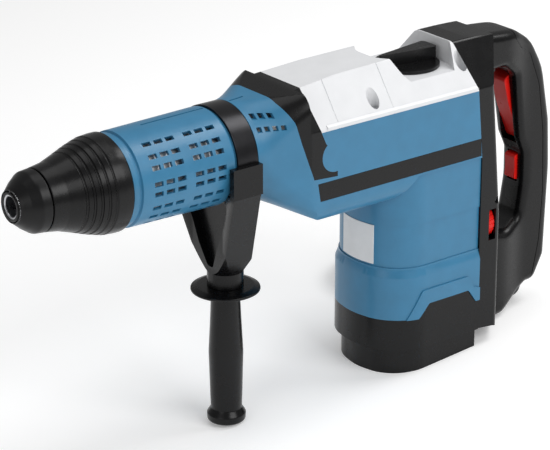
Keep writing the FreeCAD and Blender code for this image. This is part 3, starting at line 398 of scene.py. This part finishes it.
def inset(points, distance):
    """Outline moved inward, save its upright root ends; it runs clockwise, second axis up."""
    moved = []
    for i, here in enumerate(points):
        before = (here - points[i - 1]).normalized()
        after = (points[(i + 1) % len(points)] - here).normalized()
        inward_1, inward_2 = Vector((before.y, -before.x)), Vector((after.y, -after.x))
        middle = (inward_1 + inward_2).normalized()
        place = here + middle * distance / max(0.6, middle.dot(inward_1))
        if here.x in HANDLE_ROOTS:
            place = Vector((here.x, here.y + math.copysign(distance, middle.y)))
        moved.append(place)
    return moved


def add_mesh(name, bm, hidden=False):
    """Object from a mesh in the making; a hidden one only cuts others."""
    bmesh.ops.recalc_face_normals(bm, faces=bm.faces[:])
    mesh = bpy.data.meshes.new(name)
    bm.to_mesh(mesh)
    bm.free()
    piece = bpy.data.objects.new(name, mesh)
    bpy.context.scene.collection.objects.link(piece)
    if hidden:
        piece.hide_render = True
        piece.display_type = "WIRE"
    return piece


def block(name, low, high):
    """Hidden box between two corners, to cut with."""
    bm = bmesh.new()
    bmesh.ops.create_cube(bm, size=1.0)
    for vert in bm.verts:
        vert.co = Vector([(low[i] + (high[i] - low[i]) * (vert.co[i] + 0.5)) * MM for i in range(3)])
    return add_mesh(name, bm, hidden=True)


def extruded(name, points, low, high, place, hidden=True):
    """Outline carried from low to high; place turns (a, b, depth) into a point."""
    bm = bmesh.new()
    rings = [[bm.verts.new(place(p.x, p.y, depth) * MM) for p in points] for depth in (low, high)]
    bm.faces.new(rings[0])
    bm.faces.new(rings[1])
    for i in range(len(points)):
        bm.faces.new((rings[0][i - 1], rings[0][i], rings[1][i], rings[1][i - 1]))
    return add_mesh(name, bm, hidden)


def side_place(a, b, depth):
    """Point of an outline seen from the side."""
    return Vector((a, depth, b))


def across_place(a, b, depth):
    """Point of an outline across the hammer axis."""
    return Vector((depth, a, b))


def close_side(bm, ring):
    """Flat side inside a ring of points, divided evenly so that it can be widened."""
    edge = [Vector((vert.co.x, vert.co.z)) / MM for vert in ring]
    grid = [Vector((x, z)) for x in range(537, 622, SIDE_SPACING) for z in range(-241, 54, SIDE_SPACING)]
    places, _, faces, sources, _, _ = delaunay_2d_cdt(edge + grid, [], [list(range(len(edge)))], 1, 0.001)
    verts = {}
    for face in faces:
        for i in face:
            if i not in verts:
                nearest = min(sources[i], default=len(edge))
                verts[i] = ring[nearest] if nearest < len(edge) else bm.verts.new(
                    (places[i].x * MM, ring[0].co.y, places[i].y * MM))
        bm.faces.new([verts[i] for i in face])


def handle_body(name):
    """The whole D-handle: its outline with every long edge rounded, wider towards its roots."""
    outline = rounded(HANDLE_OUTLINE)
    flat = GRIP_HALF - HANDLE_EDGE_R
    rows = []
    for side in (-1, 1):
        for k in range(EDGE_STEPS + 1):
            angle = math.pi / 2 * (1 - k / EDGE_STEPS if side < 0 else k / EDGE_STEPS)
            rows.append((side * (flat + HANDLE_EDGE_R * math.sin(angle)),
                         HANDLE_EDGE_R * (1 - math.cos(angle))))
    bm = bmesh.new()
    rings = []
    for y, move in rows:
        rings.append([bm.verts.new((p.x * MM, y * MM, p.y * MM)) for p in inset(outline, move)])
    for lower, upper in zip(rings, rings[1:]):
        for i in range(len(outline)):
            bm.faces.new((lower[i - 1], lower[i], upper[i], upper[i - 1]))
    for ring in (rings[0], rings[-1]):
        close_side(bm, ring)
    for vert in bm.verts:
        share = min(1.0, max(0.0, (vert.co.x / MM - NECK_X) / NECK_LENGTH))
        share = share * share * (3 - 2 * share)
        vert.co.y *= (ROOT_HALF + (GRIP_HALF - ROOT_HALF) * share) / GRIP_HALF
    return add_mesh(name, bm)


def make_handle():
    """Hard frame and soft grip, parted by a fine seam and opened for trigger and lock button."""
    line = rounded(SEAM_OUTLINE)
    behind = [p + Vector((SEAM_GAP, -SEAM_GAP / 2)) for p in line]
    hard_seam = extruded("hard_seam_cutter", line, -SEAM_REACH, SEAM_REACH, side_place)
    soft_seam = extruded("soft_seam_cutter", behind, -SEAM_REACH, SEAM_REACH, side_place)
    rooms = [block("trigger_room", *TRIGGER_ROOM), block("button_room", *BUTTON_ROOM)]
    hard, soft = handle_body("handle_frame"), handle_body("handle_soft_grip")
    for piece, operation, seam, node, slot in (
            (hard, "DIFFERENCE", hard_seam, "rear_handle", "black_plastic"),
            (soft, "INTERSECT", soft_seam, "handle_grip", "black_rubber")):
        split = piece.modifiers.new("split", "BOOLEAN")
        split.operation = operation
        split.solver = "MANIFOLD"
        split.object = seam
        soften(piece, 0, cutters=rooms, solver="MANIFOLD")
        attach(piece, "housing")
        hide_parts(node)
    return {hard: "black_plastic", soft: "black_rubber"}


def make_belt_lips():
    """Raised lip along the foot of the top cover, on both sides."""
    made = {}
    for side, name in ((-1, "belt_lip_left"), (1, "belt_lip_right")):
        points = [Vector((side * a, b)) for a, b in LIP_OUTLINE]
        lip = extruded(name, points, *LIP_ENDS, across_place, hidden=False)
        soften(lip, EDGE_WIDTH)
        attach(lip, "housing")
        made[lip] = "cover_grey"
    return made


def groove_cutters():
    """Thin frames that mark shallow grooves across the top cover."""
    points = [Vector(p) for p in GROOVE_OUTER + GROOVE_INNER]
    return [extruded(f"groove_cutter_{k}", points, x - GROOVE_HALF, x + GROOVE_HALF, across_place)
            for k, x in enumerate(GROOVE_PLACES)]


# ---------------------------------------------------------------- stage

def make_stage():
    """Plain pale floor in the standing plane."""
    floor_mesh = bpy.data.meshes.new("floor")
    half = 6.0
    corners = [(-half, -half), (half, -half), (half, half), (-half, half)]
    places = [(x, y, stand_z(x / MM) * MM) for x, y in corners]
    floor_mesh.from_pydata(places, [], [(0, 1, 2, 3)])
    floor = bpy.data.objects.new("floor", floor_mesh)
    bpy.context.scene.collection.objects.link(floor)
    paint = bpy.data.materials.new("floor")
    paint.use_nodes = True
    shader = paint.node_tree.nodes["Principled BSDF"]
    shader.inputs["Base Color"].default_value = (0.94, 0.94, 0.94, 1.0)
    shader.inputs["Roughness"].default_value = 0.9
    shader.inputs["Specular IOR Level"].default_value = 0.1
    shader.inputs["Emission Color"].default_value = (1.0, 1.0, 1.0, 1.0)
    shader.inputs["Emission Strength"].default_value = 0.22
    floor_mesh.materials.append(paint)


def area_light(name, place, target, size, power):
    """Rectangular light aimed at a target; metres and watts."""
    light = bpy.data.lights.new(name, "AREA")
    light.shape = "RECTANGLE"
    light.size, light.size_y = size
    light.energy = power
    lamp = bpy.data.objects.new(name, light)
    bpy.context.scene.collection.objects.link(lamp)
    lamp.location = place
    lamp.rotation_mode = "QUATERNION"
    lamp.rotation_quaternion = (Vector(target) - Vector(place)).to_track_quat("-Z", "Y")


def make_lights():
    """Soft studio light: an even white room and four panels."""
    scene = bpy.context.scene
    scene.view_settings.view_transform = "Standard"
    world = bpy.data.worlds.new("studio")
    scene.world = world
    world.use_nodes = True
    background = world.node_tree.nodes["Background"]
    background.inputs["Color"].default_value = (1.0, 1.0, 1.0, 1.0)
    background.inputs["Strength"].default_value = 0.32
    middle = (0.3, 0.0, -0.1)
    area_light("key", (0.6, -2.0, 1.5), middle, (1.6, 1.2), 27.0)
    area_light("slope", (1.55, -0.35, 1.7), middle, (0.9, 0.9), 18.0)
    area_light("overhead", (0.2, 0.4, 2.3), middle, (2.0, 1.4), 12.0)
    area_light("front_fill", (-1.7, -0.7, 0.5), middle, (1.0, 1.0), 5.0)


# ---------------------------------------------------------------- the object

def main():
    """Camera and cord first, then the shaped pieces and the looks of every CAD node."""
    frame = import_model()
    place_camera()

    cord = make_cord()
    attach(cord, "housing")
    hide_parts("cord_run", "cord_coil", "cord_tail")

    materials = make_materials()
    cord.data.materials.append(materials["cord_rubber"])
    for piece, slot in {**make_handle(), **make_belt_lips()}.items():
        piece.data.materials.append(materials[slot])
    slots = {row["node"]: row["material_slot"] for row in frame["record"]["subparts"]}
    for name, piece in frame["nodes"].items():
        piece.data.materials.clear()
        piece.data.materials.append(materials[slots[name]])

    for name, piece in frame["nodes"].items():
        if name not in ("sleeve_spring", "rear_handle", "handle_grip"):
            cutters = groove_cutters() if name == "top_cover" else ()
            soften(piece, EDGE_WIDTHS.get(name, EDGE_WIDTH), cutters=cutters)

    make_stage()
    make_lights()


main()
